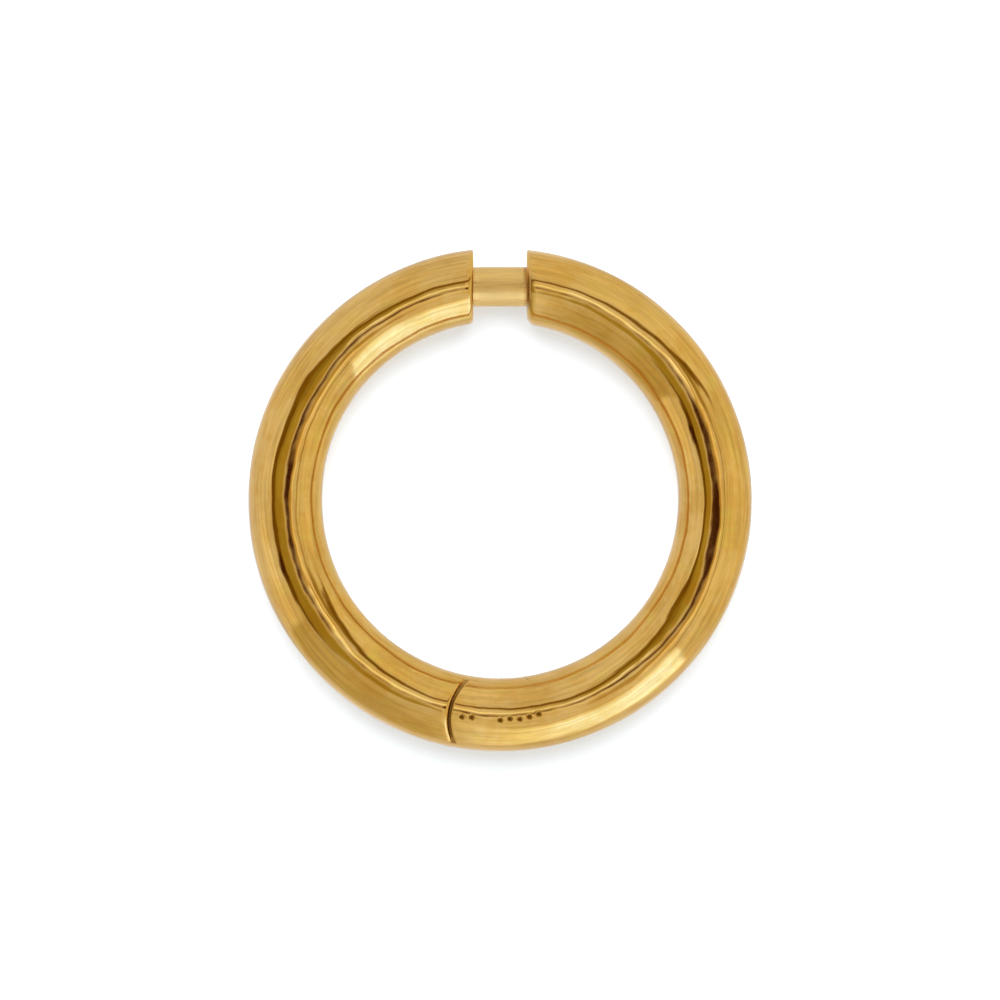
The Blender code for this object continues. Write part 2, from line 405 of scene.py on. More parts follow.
def worn_flat(tube_angle, azimuth):
    """Depth of the worn stretches of the tube, below the round section.

    A flat is a bell curve along the hoop, times another round the tube, times the cosine of the
    ripple count times the angle from the flat's centre. A step is a bell curve along the hoop, times
    minus the hyperbolic tangent across its centre, and fades down the tube's two sides.
    """
    from_crest = tube_angle - math.pi / 2
    total = 0.0
    for flat in FLATS:
        along = (azimuth - math.radians(flat.middle)) / math.radians(flat.half_length)
        across = from_crest - math.radians(flat.centre)
        bell = np.exp(-(along**2)) * np.exp(-((across / math.radians(flat.half_width)) ** 4))
        total = total + flat.depth * bell * np.cos(flat.ripple * across)
    for step in STEPS:
        along = (azimuth - math.radians(step.middle)) / math.radians(step.half_length)
        bell = np.exp(-(along**2)) * np.exp(-((from_crest / STEP_REACH) ** 4))
        across = (from_crest - math.radians(step.centre)) / STEP_WIDTH
        total = total - step.depth * bell * np.tanh(across)
    return total


def stamp(tube_angle, azimuth, kit):
    """Share of the full depth in a row of punch dots from the seam on, (1 - distance squared) squared."""
    sideways = (math.pi / 2 - tube_angle[..., None]) * kit["tube"] - STAMP_OUTSETS
    lengthways = (azimuth[..., None] - kit["stamp_seam"]) * kit["ring"] - STAMP_PLACES
    distance = (sideways**2 + lengthways**2) / STAMP_RADIUS**2
    return np.sum(np.clip(1 - distance, 0, 1) ** 2, axis=-1)


def upright_azimuth(reach, face_x):
    """Azimuth at which a circle of radius reach about the hoop's axis meets the plane x = face_x."""
    return np.arcsin(face_x / reach)


def seam_azimuth(reach, radius, kit):
    """Azimuth at which a circle of radius reach about the hoop's axis meets one about the pin."""
    pin = kit["pin_ring"]
    return kit["pin_azimuth"] - np.arccos((reach**2 + pin**2 - radius**2) / (2 * reach * pin))


def tube_rings(kit, hoop, side, rim_inner, rim_drop, hole_radius, hole_depth, seam_radius, lip, stamped):
    """Rings of points of one arc, from the floor of its hole to the middle of its seam end.

    Along the tube a ring runs at a constant share of the way between the two ends, with radius
    tube plus waves less worn flats and punch dots. At an end the rounding e runs through a quarter
    turn t: the setback from the end is e (1 - sin t) and the radius shrinks by e (1 - cos t), where
    the flat end has its own drop in place of e. The flat end face shrinks in a straight line to its
    hole, and the seam end shrinks on its own round surface to the centre line.
    """
    tube, ring = kit["tube"], kit["ring"]
    tube_angle = np.linspace(-math.pi / 2, 1.5 * math.pi, TUBE_SIDES, endpoint=False)[None, :]
    out, up = np.cos(tube_angle), np.sin(tube_angle)
    whole_turn = 0 if side > 0 else 2 * math.pi

    def face_azimuth(radius, setback):
        return side * upright_azimuth(ring + radius * out, hoop.face_x + setback)

    def end_azimuth(radius, setback):
        return seam_azimuth(ring + radius * out, seam_radius + side * setback, kit) - whole_turn

    def skin(azimuth):
        radius = tube + waves(tube_angle, azimuth, hoop.wave_height) - worn_flat(tube_angle, azimuth)
        if stamped:
            radius = radius - hoop.stamp_depth * stamp(tube_angle, azimuth, kit)
        return radius

    rim = side_blend(tube_angle, hoop.rim_crest, hoop.rim_outer, rim_inner)
    drop = side_blend(tube_angle, rim_drop, hoop.rim_outer, rim_inner)
    turn = np.linspace(0, math.pi / 2, RIM_STEPS + 1)[:, None]

    # The tube between its two roundings
    first = face_azimuth(tube, rim)
    last = end_azimuth(tube, lip)
    middle_span = abs(float(np.mean(last - first)))
    steps = np.linspace(0, 1, math.ceil(middle_span / TUBE_STEP) + 1)
    if stamped:
        fine = np.arange(0, 1, STAMP_STEP / middle_span)
        steps = np.union1d(steps[steps < STAMP_SHARE], fine[fine >= STAMP_SHARE])
        steps = np.union1d(steps, [1.0])
    azimuth = first + (last - first) * steps[:, None]
    radius = skin(azimuth)
    body = place(ring, tube, radius * out, radius * up, azimuth)

    # Rounding at the upright face, from the face to the tube
    shrink = drop * (1 - np.cos(turn))
    setback = rim * (1 - np.sin(turn))
    radius = skin(face_azimuth(tube, rim)) - shrink
    rounding = place(ring, tube, radius * out, radius * up, face_azimuth(radius, setback))
    rounding = rounding[::-1][:-1]

    # Flat face, hole rim and hole
    face_x = -side * hoop.face_x
    hole_rim = hoop.hole_rim

    def hole_ring(radius, x):
        y = kit["post_y"] + radius * out
        z = tube + radius * up
        return np.stack([np.full_like(y, x), y, z], axis=-1)

    mouth = hole_ring(hole_radius + hole_rim, face_x)
    shares = np.linspace(1, 0, FACE_STEPS, endpoint=False)[:, None, None]
    face = mouth + (rounding[:1] - mouth) * (1 - shares)
    inwards = -side
    hole = [hole_ring(hole_radius, face_x + inwards * depth) for depth in (hole_depth, hole_depth / 2)]
    for step in np.linspace(0, math.pi / 2, HOLE_RIM_STEPS, endpoint=False):
        lip_radius = hole_radius + hole_rim * (1 - math.cos(step))
        hole.append(hole_ring(lip_radius, face_x + inwards * hole_rim * (1 - math.sin(step))))
    hole_floor = np.array([face_x + inwards * hole_depth, kit["post_y"], tube])

    # Rounding at the seam, then the round or hollow end
    shrink = lip * (1 - np.cos(turn[1:]))
    setback = lip * (1 - np.sin(turn[1:]))
    radius = skin(end_azimuth(tube, lip)) - shrink
    seam_rounding = place(ring, tube, radius * out, radius * up, end_azimuth(radius, setback))
    radius = radius[-1:] * np.linspace(1, 0, END_STEPS, endpoint=False)[1:, None]
    end = place(ring, tube, radius * out, radius * up, end_azimuth(radius, 0))
    end_middle = place(ring, tube, 0, 0, end_azimuth(0, 0)[0, 0])

    rings = np.concatenate([np.concatenate(hole), face, rounding, body, seam_rounding, end])
    return hole_floor, rings, end_middle


def tongue_rings(kit, hoop):
    """Rings of points of the tongue, from inside the short arc to the middle of its nose.

    The section is the tube's circle between two flats. Along the tongue each point keeps its
    distance from the centre line and runs to where it meets the nose, a circle about the centre
    line beside the pin. The nose shrinks on its own round surface to the centre line.
    """
    ring = kit["ring"]
    radius = kit["tube"] - hoop.tongue_sink
    half = hoop.tongue_thickness / 2
    edge = math.asin(half / radius)
    flat = np.linspace(1, -1, TONGUE_FLAT_SIDES, endpoint=False)
    level = np.full(TONGUE_FLAT_SIDES, half)
    arc = np.linspace(-edge, edge, TONGUE_ARC_SIDES, endpoint=False)
    half_width = radius * math.cos(edge)
    out = np.concatenate([radius * np.cos(arc), half_width * flat])
    out = np.concatenate([out, -out])[None, :]
    up = np.concatenate([radius * np.sin(arc), level])
    up = np.concatenate([up, -up])[None, :]

    def nose_azimuth(reach):
        cosine = (reach**2 + ring**2 - kit["tongue_end"] ** 2) / (2 * reach * ring)
        return kit["pin_azimuth"] + np.arccos(cosine)

    first = kit["pin_azimuth"] - TONGUE_ROOT
    steps = np.linspace(0, 1, TONGUE_STEPS)[:, None]
    last = nose_azimuth(ring + out)
    body = place(ring, kit["tube"], out, up, first + (last - first) * steps)
    shrink = np.linspace(1, 0, TONGUE_END_STEPS, endpoint=False)[1:, None]
    end = place(ring, kit["tube"], out * shrink, up * shrink, nose_azimuth(ring + out * shrink))
    root = place(ring, kit["tube"], 0, 0, first)
    tip = place(ring, kit["tube"], 0, 0, nose_azimuth(ring))
    return root, np.concatenate([body, end]), tip


def smooth_step(value, low, high):
    way = np.clip((value - low) / (high - low), 0, 1)
    return way**2 * (3 - 2 * way)


def mark_surface(mesh, kit, rim_reach=0.0, rim_shade=0.0, stamped=False):
    """Store on each point its place on the tube, and how much painted shade it gets.

    The place is along, out of and up from the tube's centre line, in millimetres. Along is the arc
    length at the centre line, clockwise from +Y. The painted shade is 1 at the foot of a punch dot,
    SEAM_SHADE_TONE in the seam and rim_shade at the end face's rim. In the seam and at the rim it fades
    towards the hoop's two sides.
    """
    points = np.empty(len(mesh.vertices) * 3)
    mesh.vertices.foreach_get("co", points)
    x, y, z = points.reshape(-1, 3).T
    out, up = np.hypot(x, y) - kit["ring"], z - kit["tube"]
    along = np.mod(np.arctan2(x, y), 2 * math.pi) * kit["ring"]
    layer = mesh.attributes.new("along_tube", "FLOAT_VECTOR", "POINT")
    values = np.column_stack([along, out, up]) / MM
    layer.data.foreach_set("vector", values.ravel().astype(np.float32))

    depth = kit["tube"] - np.hypot(out, up)
    from_pin = np.hypot(x - HINGE_PLACE[0], y - HINGE_PLACE[1])
    aside = out / kit["tube"]
    # Painted shade in the seam's gap
    recess = SEAM_SHADE_TONE * smooth_step(depth, *SEAM_SHADE) * (from_pin < SEAM_REACH)
    recess = recess * (1 - smooth_step(np.abs(aside), *SEAM_SIDE_FADE))
    recess = recess * (1 - SEAM_INNER_LOSS * smooth_step(-aside, *SEAM_INNER_FADE))
    # Painted shade at the end face's rim
    if rim_shade:
        from_face = np.abs(x) - FACE_X
        by_face = (y > 0) * (1 - smooth_step(from_face, RIM_FULL * rim_reach, rim_reach))
        middle = (1 - smooth_step(aside, *RIM_OUTER_FADE)) * (1 - smooth_step(-aside, *RIM_INNER_FADE))
        recess = np.maximum(recess, rim_shade * by_face * middle)
    # Painted shade in the punch dots
    if stamped:
        share_of_depth = stamp(np.arctan2(up, out), -along / kit["ring"], kit)
        recess = np.maximum(recess, smooth_step(share_of_depth, *STAMP_SHADE))
    layer = mesh.attributes.new("recess", "FLOAT", "POINT")
    layer.data.foreach_set("value", recess.astype(np.float32))


def finish_metal(item, material):
    item.data.materials.clear()
    item.data.materials.append(material)
    item.data.shade_smooth()
    item.data.set_sharp_from_angle(angle=SMOOTH_ANGLE)


def turned_rings(profile, centre, axis, sides):
    """Rings of a turned piece: a profile of distance and radius carried round an axis."""
    turn = np.linspace(0, 2 * math.pi, sides, endpoint=False)
    distance, radius = profile[:, :1], profile[:, 1:]
    across = radius * np.cos(turn)
    around = radius * np.sin(turn)
    along = np.broadcast_to(distance, across.shape)
    if axis == "X":
        return np.stack([along, centre[1] + across, centre[2] + around], axis=-1)
    return np.stack([centre[0] + across, centre[1] + around, along], axis=-1)


def rounded_rod(low, high, radius, low_round, high_round):
    """Profile of a rod whose two ends are quarter circles, as distance and radius."""
    turn = np.linspace(0, math.pi / 2, ROD_END_STEPS)
    low_end = np.column_stack(
        [low + low_round * (1 - np.cos(turn)), radius - low_round * (1 - np.sin(turn))]
    )
    high_end = np.column_stack(
        [high - high_round * (1 - np.cos(turn)), radius - high_round * (1 - np.sin(turn))]
    )[::-1]
    middle = np.linspace(low_end[-1], high_end[0], ROD_STEPS)[1:-1]
    return np.concatenate([low_end, middle, high_end])


# Node trees

# Polished gold: roughness from its lines, specks and painted shade, how deep its lines are, and where
# the inner haze starts, in millimetres out of the tube's centre line
LINE_HAZE = 0.05
SPECK_HAZE = 0.04
PAINTED_SHADE_HAZE = 0.3
LINE_DEPTH = 0.0007 * MM
INNER_HAZE_SPAN = (-1.12, -0.95)
# Satin gold: brightness of its deeper lines, roughness from its grain, and how deep the grain is
SATIN_DEEP = 0.86
SATIN_HAZE = 0.06
SATIN_DEPTH = 0.004 * MM
# The painted shade round the post by the socket's mouth: where it starts and is full before the socket's
# face, where it ends beyond it, and how dark it is at the post's middle and some way towards the outer
# side
CREVICE_START = 0.20 * MM
CREVICE_FULL = 0.03 * MM
CREVICE_END = 0.20 * MM
CREVICE_OUT = 0.35 * MM
CREVICE_SHADE_TONES = (0.3, 0.8)


def add_node(tree, kind, inputs=None, **settings):
    """Add a node, set its own settings, and fill its sockets with values or links."""
    node = tree.nodes.new(kind)
    for name, value in settings.items():
        setattr(node, name, value)
    for name, value in (inputs or {}).items():
        if isinstance(value, bpy.types.NodeSocket):
            tree.links.new(value, node.inputs[name])
        else:
            node.inputs[name].default_value = value
    return node


def maths(tree, operation, *values):
    return add_node(tree, "ShaderNodeMath", dict(enumerate(values)), operation=operation).outputs[0]


def plus(tree, first, second):
    return maths(tree, "ADD", first, second)


def times(tree, first, second):
    return maths(tree, "MULTIPLY", first, second)


def remap(tree, value, low, high, to_low=0.0, to_high=1.0):
    """Smooth step from to_low at low to to_high at high."""
    inputs = {"Value": value, "From Min": low, "From Max": high, "To Min": to_low, "To Max": to_high}
    return add_node(tree, "ShaderNodeMapRange", inputs, interpolation_type="SMOOTHSTEP").outputs[0]


def blend(tree, factor, first, second):
    node = add_node(tree, "ShaderNodeMix", data_type="RGBA")
    for name, value in (("Factor_Float", factor), ("A_Color", first), ("B_Color", second)):
        socket = next(item for item in node.inputs if item.identifier == name)
        if isinstance(value, bpy.types.NodeSocket):
            tree.links.new(value, socket)
        else:
            socket.default_value = value
    return next(item for item in node.outputs if item.identifier == "Result_Color")


def noise(tree, vector, scale, detail=2.0, roughness=0.5):
    inputs = {"Vector": vector, "Scale": scale, "Detail": detail, "Roughness": roughness}
    return add_node(tree, "ShaderNodeTexNoise", inputs).outputs["Fac"]


def stretched(tree, vector, scale):
    return add_node(tree, "ShaderNodeMapping", {"Vector": vector, "Scale": scale}).outputs[0]


def bump(tree, height, depth):
    inputs = {"Height": height, "Strength": 1.0, "Distance": depth}
    return add_node(tree, "ShaderNodeBump", inputs).outputs[0]


def new_metal(name):
    material = bpy.data.materials.new(name)
    material.use_nodes = True
    tree = material.node_tree
    shader = tree.nodes["Principled BSDF"]
    shader.inputs["Metallic"].default_value = 1.0
    return material, tree, shader


def mirror_gold(finish):
    """Polished gold with fine drawn lines along the tube, soft clouds of colour, faint haze and painted
    shade.
    """
    material, tree, shader = new_metal("mirror_gold")
    along = add_node(tree, "ShaderNodeAttribute", attribute_name="along_tube").outputs["Vector"]
    clouds = noise(tree, along, scale=0.55, detail=3.0)
    lines = noise(tree, stretched(tree, along, (0.35, 7.0, 7.0)), scale=1.0, detail=3.0, roughness=0.6)
    fine_lines = noise(tree, stretched(tree, along, (0.8, 26.0, 26.0)), scale=1.0)
    specks = noise(tree, along, scale=9.0)
    mottle = times(tree, noise(tree, along, scale=3.0), 0.35)
    tone = plus(tree, plus(tree, clouds, mottle), times(tree, lines, 0.5))
    tone = remap(tree, tone, low=0.78, high=1.06)
    gold = blend(tree, tone, (*finish.deep_gold, 1), (*finish.gold, 1))
    green_clouds = noise(tree, along, scale=1.3, detail=3.0, roughness=0.6)
    green = remap(tree, green_clouds, low=0.5, high=0.75, to_high=0.7)
    gold = blend(tree, green, gold, (*finish.green_gold, 1))
    # Painted shade: the seam, the punch dots and the end faces' rims are darkened in the base colour
    recess = add_node(tree, "ShaderNodeAttribute", attribute_name="recess").outputs["Fac"]
    gold = blend(tree, recess, gold, (*finish.recess_gold, 1))
    tree.links.new(gold, shader.inputs["Base Color"])
    line_haze = times(tree, lines, LINE_HAZE)
    haze = plus(tree, line_haze, times(tree, specks, SPECK_HAZE))
    rough = plus(tree, haze, finish.polish - (LINE_HAZE + SPECK_HAZE) / 2)
    rough = plus(tree, rough, times(tree, recess, PAINTED_SHADE_HAZE))
    out = add_node(tree, "ShaderNodeSeparateXYZ", {"Vector": along}).outputs["Y"]
    rough = plus(tree, rough, remap(tree, out, *INNER_HAZE_SPAN, finish.inner_haze, 0.0))
    tree.links.new(rough, shader.inputs["Roughness"])
    height = plus(tree, lines, times(tree, fine_lines, 0.25))
    tree.links.new(bump(tree, height, LINE_DEPTH), shader.inputs["Normal"])
    return material


def satin_gold(finish, post, post_y):
    """Paler gold, satin in the middle, brighter by each end face, painted shade at the socket's mouth."""
    material, tree, shader = new_metal("satin_gold")
    place_on_post = add_node(tree, "ShaderNodeTexCoord").outputs["Object"]
    x, y, _ = add_node(tree, "ShaderNodeSeparateXYZ", {"Vector": place_on_post}).outputs
    from_face = maths(tree, "SUBTRACT", FACE_X, maths(tree, "ABSOLUTE", x))
    satin = remap(tree, from_face, 0.4 * post.polished_band, 1.3 * post.polished_band)
    grain = noise(tree, place_on_post, scale=14.0 / MM, detail=3.0, roughness=0.6)
    drawn = stretched(tree, place_on_post, (0.8 / MM, 9.0 / MM, 9.0 / MM))
    lines = noise(tree, drawn, scale=1.0, detail=3.0, roughness=0.6)
    tone = remap(tree, lines, low=0.3, high=0.7)
    deep = (SATIN_DEEP * value for value in finish.pale_gold)
    gold = blend(tree, tone, (*deep, 1), (*finish.pale_gold, 1))
    # Painted shade on the post by the socket's mouth, darkening the base colour
    crevice_shade = remap(tree, x, FACE_X - CREVICE_START, FACE_X - CREVICE_FULL)
    beyond = remap(tree, x, FACE_X, FACE_X + CREVICE_END, 1.0, 0.0)
    crevice_shade = times(tree, crevice_shade, beyond)
    outwards = remap(tree, y, post_y, post_y + CREVICE_OUT, *CREVICE_SHADE_TONES)
    crevice_shade = times(tree, crevice_shade, outwards)
    gold = blend(tree, crevice_shade, gold, (*finish.crevice_gold, 1))
    tree.links.new(gold, shader.inputs["Base Color"])
    rough = remap(tree, satin, 0.0, 1.0, finish.brushed, finish.satin)
    rough = plus(tree, rough, times(tree, grain, SATIN_HAZE))
    tree.links.new(rough, shader.inputs["Roughness"])
    height = maths(tree, "SUBTRACT", plus(tree, grain, lines), 1.0)
    height = times(tree, height, satin)
    tree.links.new(bump(tree, height, SATIN_DEPTH), shader.inputs["Normal"])
    return material


def shared_material(make, *settings):
    return bpy.data.materials.get(make.__name__) or make(*settings)


# Studio


# A card or window seen in the metal, in degrees: compass angles from +Y to +X, and elevations.
# The start and the end have their own softness.
Card = namedtuple("Card", "start start_soft end end_soft low high level_soft light")
# A panel overhead, in degrees of tilt from straight up towards +X and +Y, and its own turn
Panel = namedtuple("Panel", "east north half_east half_north softness light turn", defaults=(0,))

CARDS = (
    Card(
        start=10, start_soft=20, end=120, end_soft=10, low=-60, high=60, level_soft=15,
        light=(0.89, 0.86, 0.69),
    ),
    Card(
        start=196, start_soft=12, end=238.5, end_soft=1.0, low=-30, high=62, level_soft=14,
        light=(0.62, 0.56, 0.38),
    ),
    Card(
        start=238.5, start_soft=1.0, end=266, end_soft=10, low=4, high=29, level_soft=4,
        light=(0.97, 0.97, 0.92),
    ),
    Card(
        start=131, start_soft=1.0, end=184, end_soft=14, low=-20, high=50, level_soft=6,
        light=(1.22, 1.38, 1.6),
    ),
    Card(
        start=131, start_soft=1.0, end=166, end_soft=14, low=-12, high=42, level_soft=4,
        light=(1.44, 1.9, 3.1),
    ),
)
PANELS = (
    Panel(east=-13.5, north=2, half_east=11, half_north=18, softness=3, light=(0.46, 0.37, 0.08)),
    Panel(east=-28.5, north=2, half_east=7, half_north=20, softness=2, light=(0.20, 0.11, 0.0)),
    Panel(east=25, north=18, half_east=8, half_north=6, turn=-54, softness=3, light=(0.40, 0.31, 0.08)),
    Panel(east=-16, north=15, half_east=7, half_north=7, turn=45, softness=3, light=(0.36, 0.28, 0.06)),
    Panel(east=-32, north=-10, half_east=9.5, half_north=2, turn=25, softness=1.2, light=(0.06, 0.01, 0)),
    Panel(east=10, north=20.5, half_east=43, half_north=3.2, turn=7, softness=1.4, light=(0.24, 0.14, 0)),
    Panel(east=29, north=-3, half_east=1.6, half_north=22, softness=1.5, light=(0.50, 0.38, 0.10)),
    Panel(east=13, north=-4, half_east=4.5, half_north=16, softness=2.0, light=(0.60, 0.47, 0.22)),
    Panel(east=18.5, north=-4, half_east=2.0, half_north=16, softness=1.5, light=(1.2, 1.1, 0.85)),
    Panel(east=4, north=6.6, half_east=9, half_north=2.0, turn=7, softness=1.5, light=(1.45, 1.6, 1.8)),
    Panel(east=5.9, north=-1.2, half_east=5.6, half_north=3.2, softness=2.0, light=(0.30, 0.15, 0.02)),
    Panel(east=5.7, north=-0.8, half_east=5.0, half_north=2.0, softness=1.5, light=(0.06, 0.010, 0.0)),
    Panel(east=7.5, north=-1.9, half_east=3.0, half_north=3.2, softness=2.0, light=(0.05, 0.007, 0.0)),
)
# How far the room's unevenness shifts an edge overhead, in degrees
EDGE_DRIFT = 6.0
# The darkest and the brightest share of the light that the unevenness leaves
UNEVEN_LIGHT = (0.84, 1.16)

# How far the floor reaches, and how far it lies below z = 0, just under the waves of the polish
FLOOR_REACH = 1.2
FLOOR_DEPTH = 0.014 * MM
# The camera's sensor in millimetres, and the nearest and farthest that it sees in metres
SENSOR_WIDTH = 36.0
CLIP_START = 1.0 * MM
CLIP_END = 5.0


def window(tree, value, low, high, low_soft, high_soft):
    """Share that is 1 between low and high degrees and falls smoothly to 0 across each edge."""
    low, high, low_soft, high_soft = map(math.radians, (low, high, low_soft, high_soft))
    rise = remap(tree, value, low - low_soft, low + low_soft)
    fall = remap(tree, value, high - high_soft, high + high_soft, 1.0, 0.0)
    return times(tree, rise, fall)


def fill_room(world, studio):
    """Light of the room by direction: uneven walls, then each card and each panel overhead on top."""
    world.use_nodes = True
    tree = world.node_tree
    background = tree.nodes["Background"]
    world.cycles_visibility.diffuse = False
    direction = add_node(tree, "ShaderNodeTexCoord").outputs["Generated"]
    x, y, z = add_node(tree, "ShaderNodeSeparateXYZ", {"Vector": direction}).outputs
    compass = maths(tree, "ARCTAN2", x, y)
    height = maths(tree, "ARCSINE", z)
    level = maths(tree, "SQRT", maths(tree, "SUBTRACT", 1.0, times(tree, z, z)))
    tilt = maths(tree, "ARCTAN2", level, z)
    stretch = maths(tree, "DIVIDE", tilt, maths(tree, "MAXIMUM", level, 1e-5))
    drift = noise(tree, direction, scale=4.0, detail=3.0)
    drift = remap(tree, drift, 0.2, 0.8, -EDGE_DRIFT / 2, EDGE_DRIFT / 2)
    drift = times(tree, drift, math.radians(1))
    east = plus(tree, times(tree, x, stretch), drift)
    north = plus(tree, times(tree, y, stretch), drift)
    light = (studio.room_light,) * 3 + (1,)
    for card in CARDS:
        middle = (card.start + card.end) / 2
        half = card.end - middle
        aside = maths(tree, "SUBTRACT", compass, math.radians(middle))
        aside = maths(tree, "WRAP", aside, math.pi, -math.pi)
        across = window(tree, aside, -half, half, card.start_soft, card.end_soft)
        upright = window(tree, height, card.low, card.high, card.level_soft, card.level_soft)
        light = blend(tree, times(tree, across, upright), light, (*card.light, 1))
    for panel in PANELS:
        dx = maths(tree, "SUBTRACT", east, math.radians(panel.east))
        dy = maths(tree, "SUBTRACT", north, math.radians(panel.north))
        cosine, sine = math.cos(math.radians(panel.turn)), math.sin(math.radians(panel.turn))
        along = times(tree, dx, cosine)
        along = plus(tree, along, times(tree, dy, sine))
        aside = times(tree, dy, cosine)
        aside = maths(tree, "SUBTRACT", aside, times(tree, dx, sine))
        across = window(tree, along, -panel.half_east, panel.half_east, panel.softness, panel.softness)
        upright = window(tree, aside, -panel.half_north, panel.half_north, panel.softness, panel.softness)
        light = blend(tree, times(tree, across, upright), light, (*panel.light, 1))
    by_height = add_node(tree, "ShaderNodeCombineXYZ", {"X": compass, "Y": height}).outputs[0]
    streaks = stretched(tree, by_height, (1.1, 9.0, 1.0))
    streaks = noise(tree, streaks, scale=1.0, detail=3.0, roughness=0.6)
    patches = noise(tree, direction, scale=5.0, detail=3.0)
    uneven = remap(tree, plus(tree, patches, streaks), 0.7, 1.3, *UNEVEN_LIGHT)
    scaled = {"Vector": light, "Scale": uneven}
    light = add_node(tree, "ShaderNodeVectorMath", scaled, operation="SCALE").outputs[0]
    seen = add_node(tree, "ShaderNodeLightPath").outputs["Is Camera Ray"]
    light = blend(tree, seen, light, (1, 1, 1, 1))
    tree.links.new(light, background.inputs["Color"])


def floor_material():
    material = bpy.data.materials.new("pale_floor")
    material.use_nodes = True
    tree = material.node_tree
    shader = tree.nodes["Principled BSDF"]
    place_on_floor = add_node(tree, "ShaderNodeTexCoord").outputs["Object"]
    grain = noise(tree, place_on_floor, scale=1.0 / MM)
    white = blend(tree, grain, (0.89, 0.89, 0.89, 1), (0.91, 0.91, 0.91, 1))
    tree.links.new(white, shader.inputs["Base Color"])
    shader.inputs["Roughness"].default_value = 1.0
    shader.inputs["Specular IOR Level"].default_value = 0.0
    return material


class EARRING_OT_long_arc(bpy.types.Operator):
    """Add the long arc: a tube with a socket at one end and a slotted round end at the hinge"""

    bl_idname = "earring.long_arc"
    bl_label = "Long arc"

    def execute(self, context):
        hoop, post, kit = context.scene.hoop_sizes, context.scene.post_sizes, derived(context)
        rings = tube_rings(
            kit,
            hoop,
            side=-1,
            rim_inner=hoop.rim_inner_long,
            rim_drop=hoop.rim_drop,
            hole_radius=post.post_diameter / 2 + post.socket_clearance,
            hole_depth=post.tip_x + post.socket_end_clearance - hoop.face_x,
            seam_radius=hoop.seam_radius,
            lip=hoop.round_end_lip,
            stamped=True,
        )
        item = add_object("long_arc_tube", closed_mesh("long_arc_tube", *rings))
        half_slot = hoop.tongue_thickness / 2 + hoop.slot_clearance
        tongue_x = kit["ring"] * math.sin(kit["pin_azimuth"] - math.pi)
        tongue_y = -kit["ring"] * math.cos(kit["pin_azimuth"] - math.pi)
        slot_end = kit["tongue_end"] + hoop.slot_clearance
        slot_outline = nose(tongue_x, tongue_y, slot_end, 4 * kit["tube"])
        slot = prism("slot", slot_outline, kit["tube"] - half_slot, kit["tube"] + half_slot)
        hole_outline = circle(*HINGE_PLACE[:2], post.pin_diameter / 2 + hoop.pin_clearance)
        pin_hole = prism("pin_hole", hole_outline, -kit["tube"], post.pin_high + hoop.pin_end_clearance)
        combine(item, "DIFFERENCE", [slot, pin_hole])
        # Painted shade in the seam, in the punch dots and at the socket's rim
        mark_surface(item.data, kit, rim_reach=SOCKET_RIM_REACH, rim_shade=SOCKET_RIM_SHADE, stamped=True)
        finish_metal(item, shared_material(mirror_gold, context.scene.gold_finishes))
        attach(item, "long_half")
        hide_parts("long_arc")
        return {"FINISHED"}


class EARRING_OT_short_arc(bpy.types.Operator):
    """Add the short arc: a tube with the post's hole at one end and a tongue at the hinge"""

    bl_idname = "earring.short_arc"
    bl_label = "Short arc"

    def execute(self, context):
        hoop, post, kit = context.scene.hoop_sizes, context.scene.post_sizes, derived(context)
        rings = tube_rings(
            kit,
            hoop,
            side=1,
            rim_inner=hoop.rim_inner_short,
            rim_drop=hoop.rim_crest,
            hole_radius=post.post_diameter / 2 + post.root_clearance,
            hole_depth=post.root_x + post.root_clearance - hoop.face_x,
            seam_radius=hoop.seam_radius + hoop.seam_gap,
            lip=hoop.hollow_end_lip,
            stamped=False,
        )
        item = add_object("short_arc_tube", closed_mesh("short_arc_tube", *rings))
        combine(item, "UNION", [closed_mesh("tongue", *tongue_rings(kit, hoop))])
        bore_outline = circle(*HINGE_PLACE[:2], post.pin_diameter / 2 + hoop.bore_clearance)
        half_bore = hoop.tongue_thickness
        bore = prism("tongue_bore", bore_outline, kit["tube"] - half_bore, kit["tube"] + half_bore)
        combine(item, "DIFFERENCE", [bore])
        # Painted shade in the seam and at the rim round the post's root
        mark_surface(item.data, kit, rim_reach=ROOT_RIM_REACH, rim_shade=ROOT_RIM_SHADE)
        finish_metal(item, shared_material(mirror_gold, context.scene.gold_finishes))
        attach(item, "short_half")
        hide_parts("short_arc")
        return {"FINISHED"}


class EARRING_OT_ear_post(bpy.types.Operator):
    """Add the ear post: a straight satin wire with a rounded tip"""

    bl_idname = "earring.ear_post"
    bl_label = "Ear post"

    def execute(self, context):
        post, kit = context.scene.post_sizes, derived(context)
        radius = post.post_diameter / 2
        profile = rounded_rod(-post.root_x, post.tip_x, radius, ROOT_ROUND, post.tip_round)
        centre = (0, kit["post_y"], kit["tube"])
        rings = turned_rings(profile, centre, "X", POST_SIDES)
        root = (-post.root_x, *centre[1:])
        tip = (post.tip_x, *centre[1:])
        item = add_object("post_wire", closed_mesh("post_wire", root, rings, tip))
        material = shared_material(satin_gold, context.scene.gold_finishes, post, kit["post_y"])
        finish_metal(item, material)
        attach(item, "short_half")
        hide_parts("ear_post")
        return {"FINISHED"}


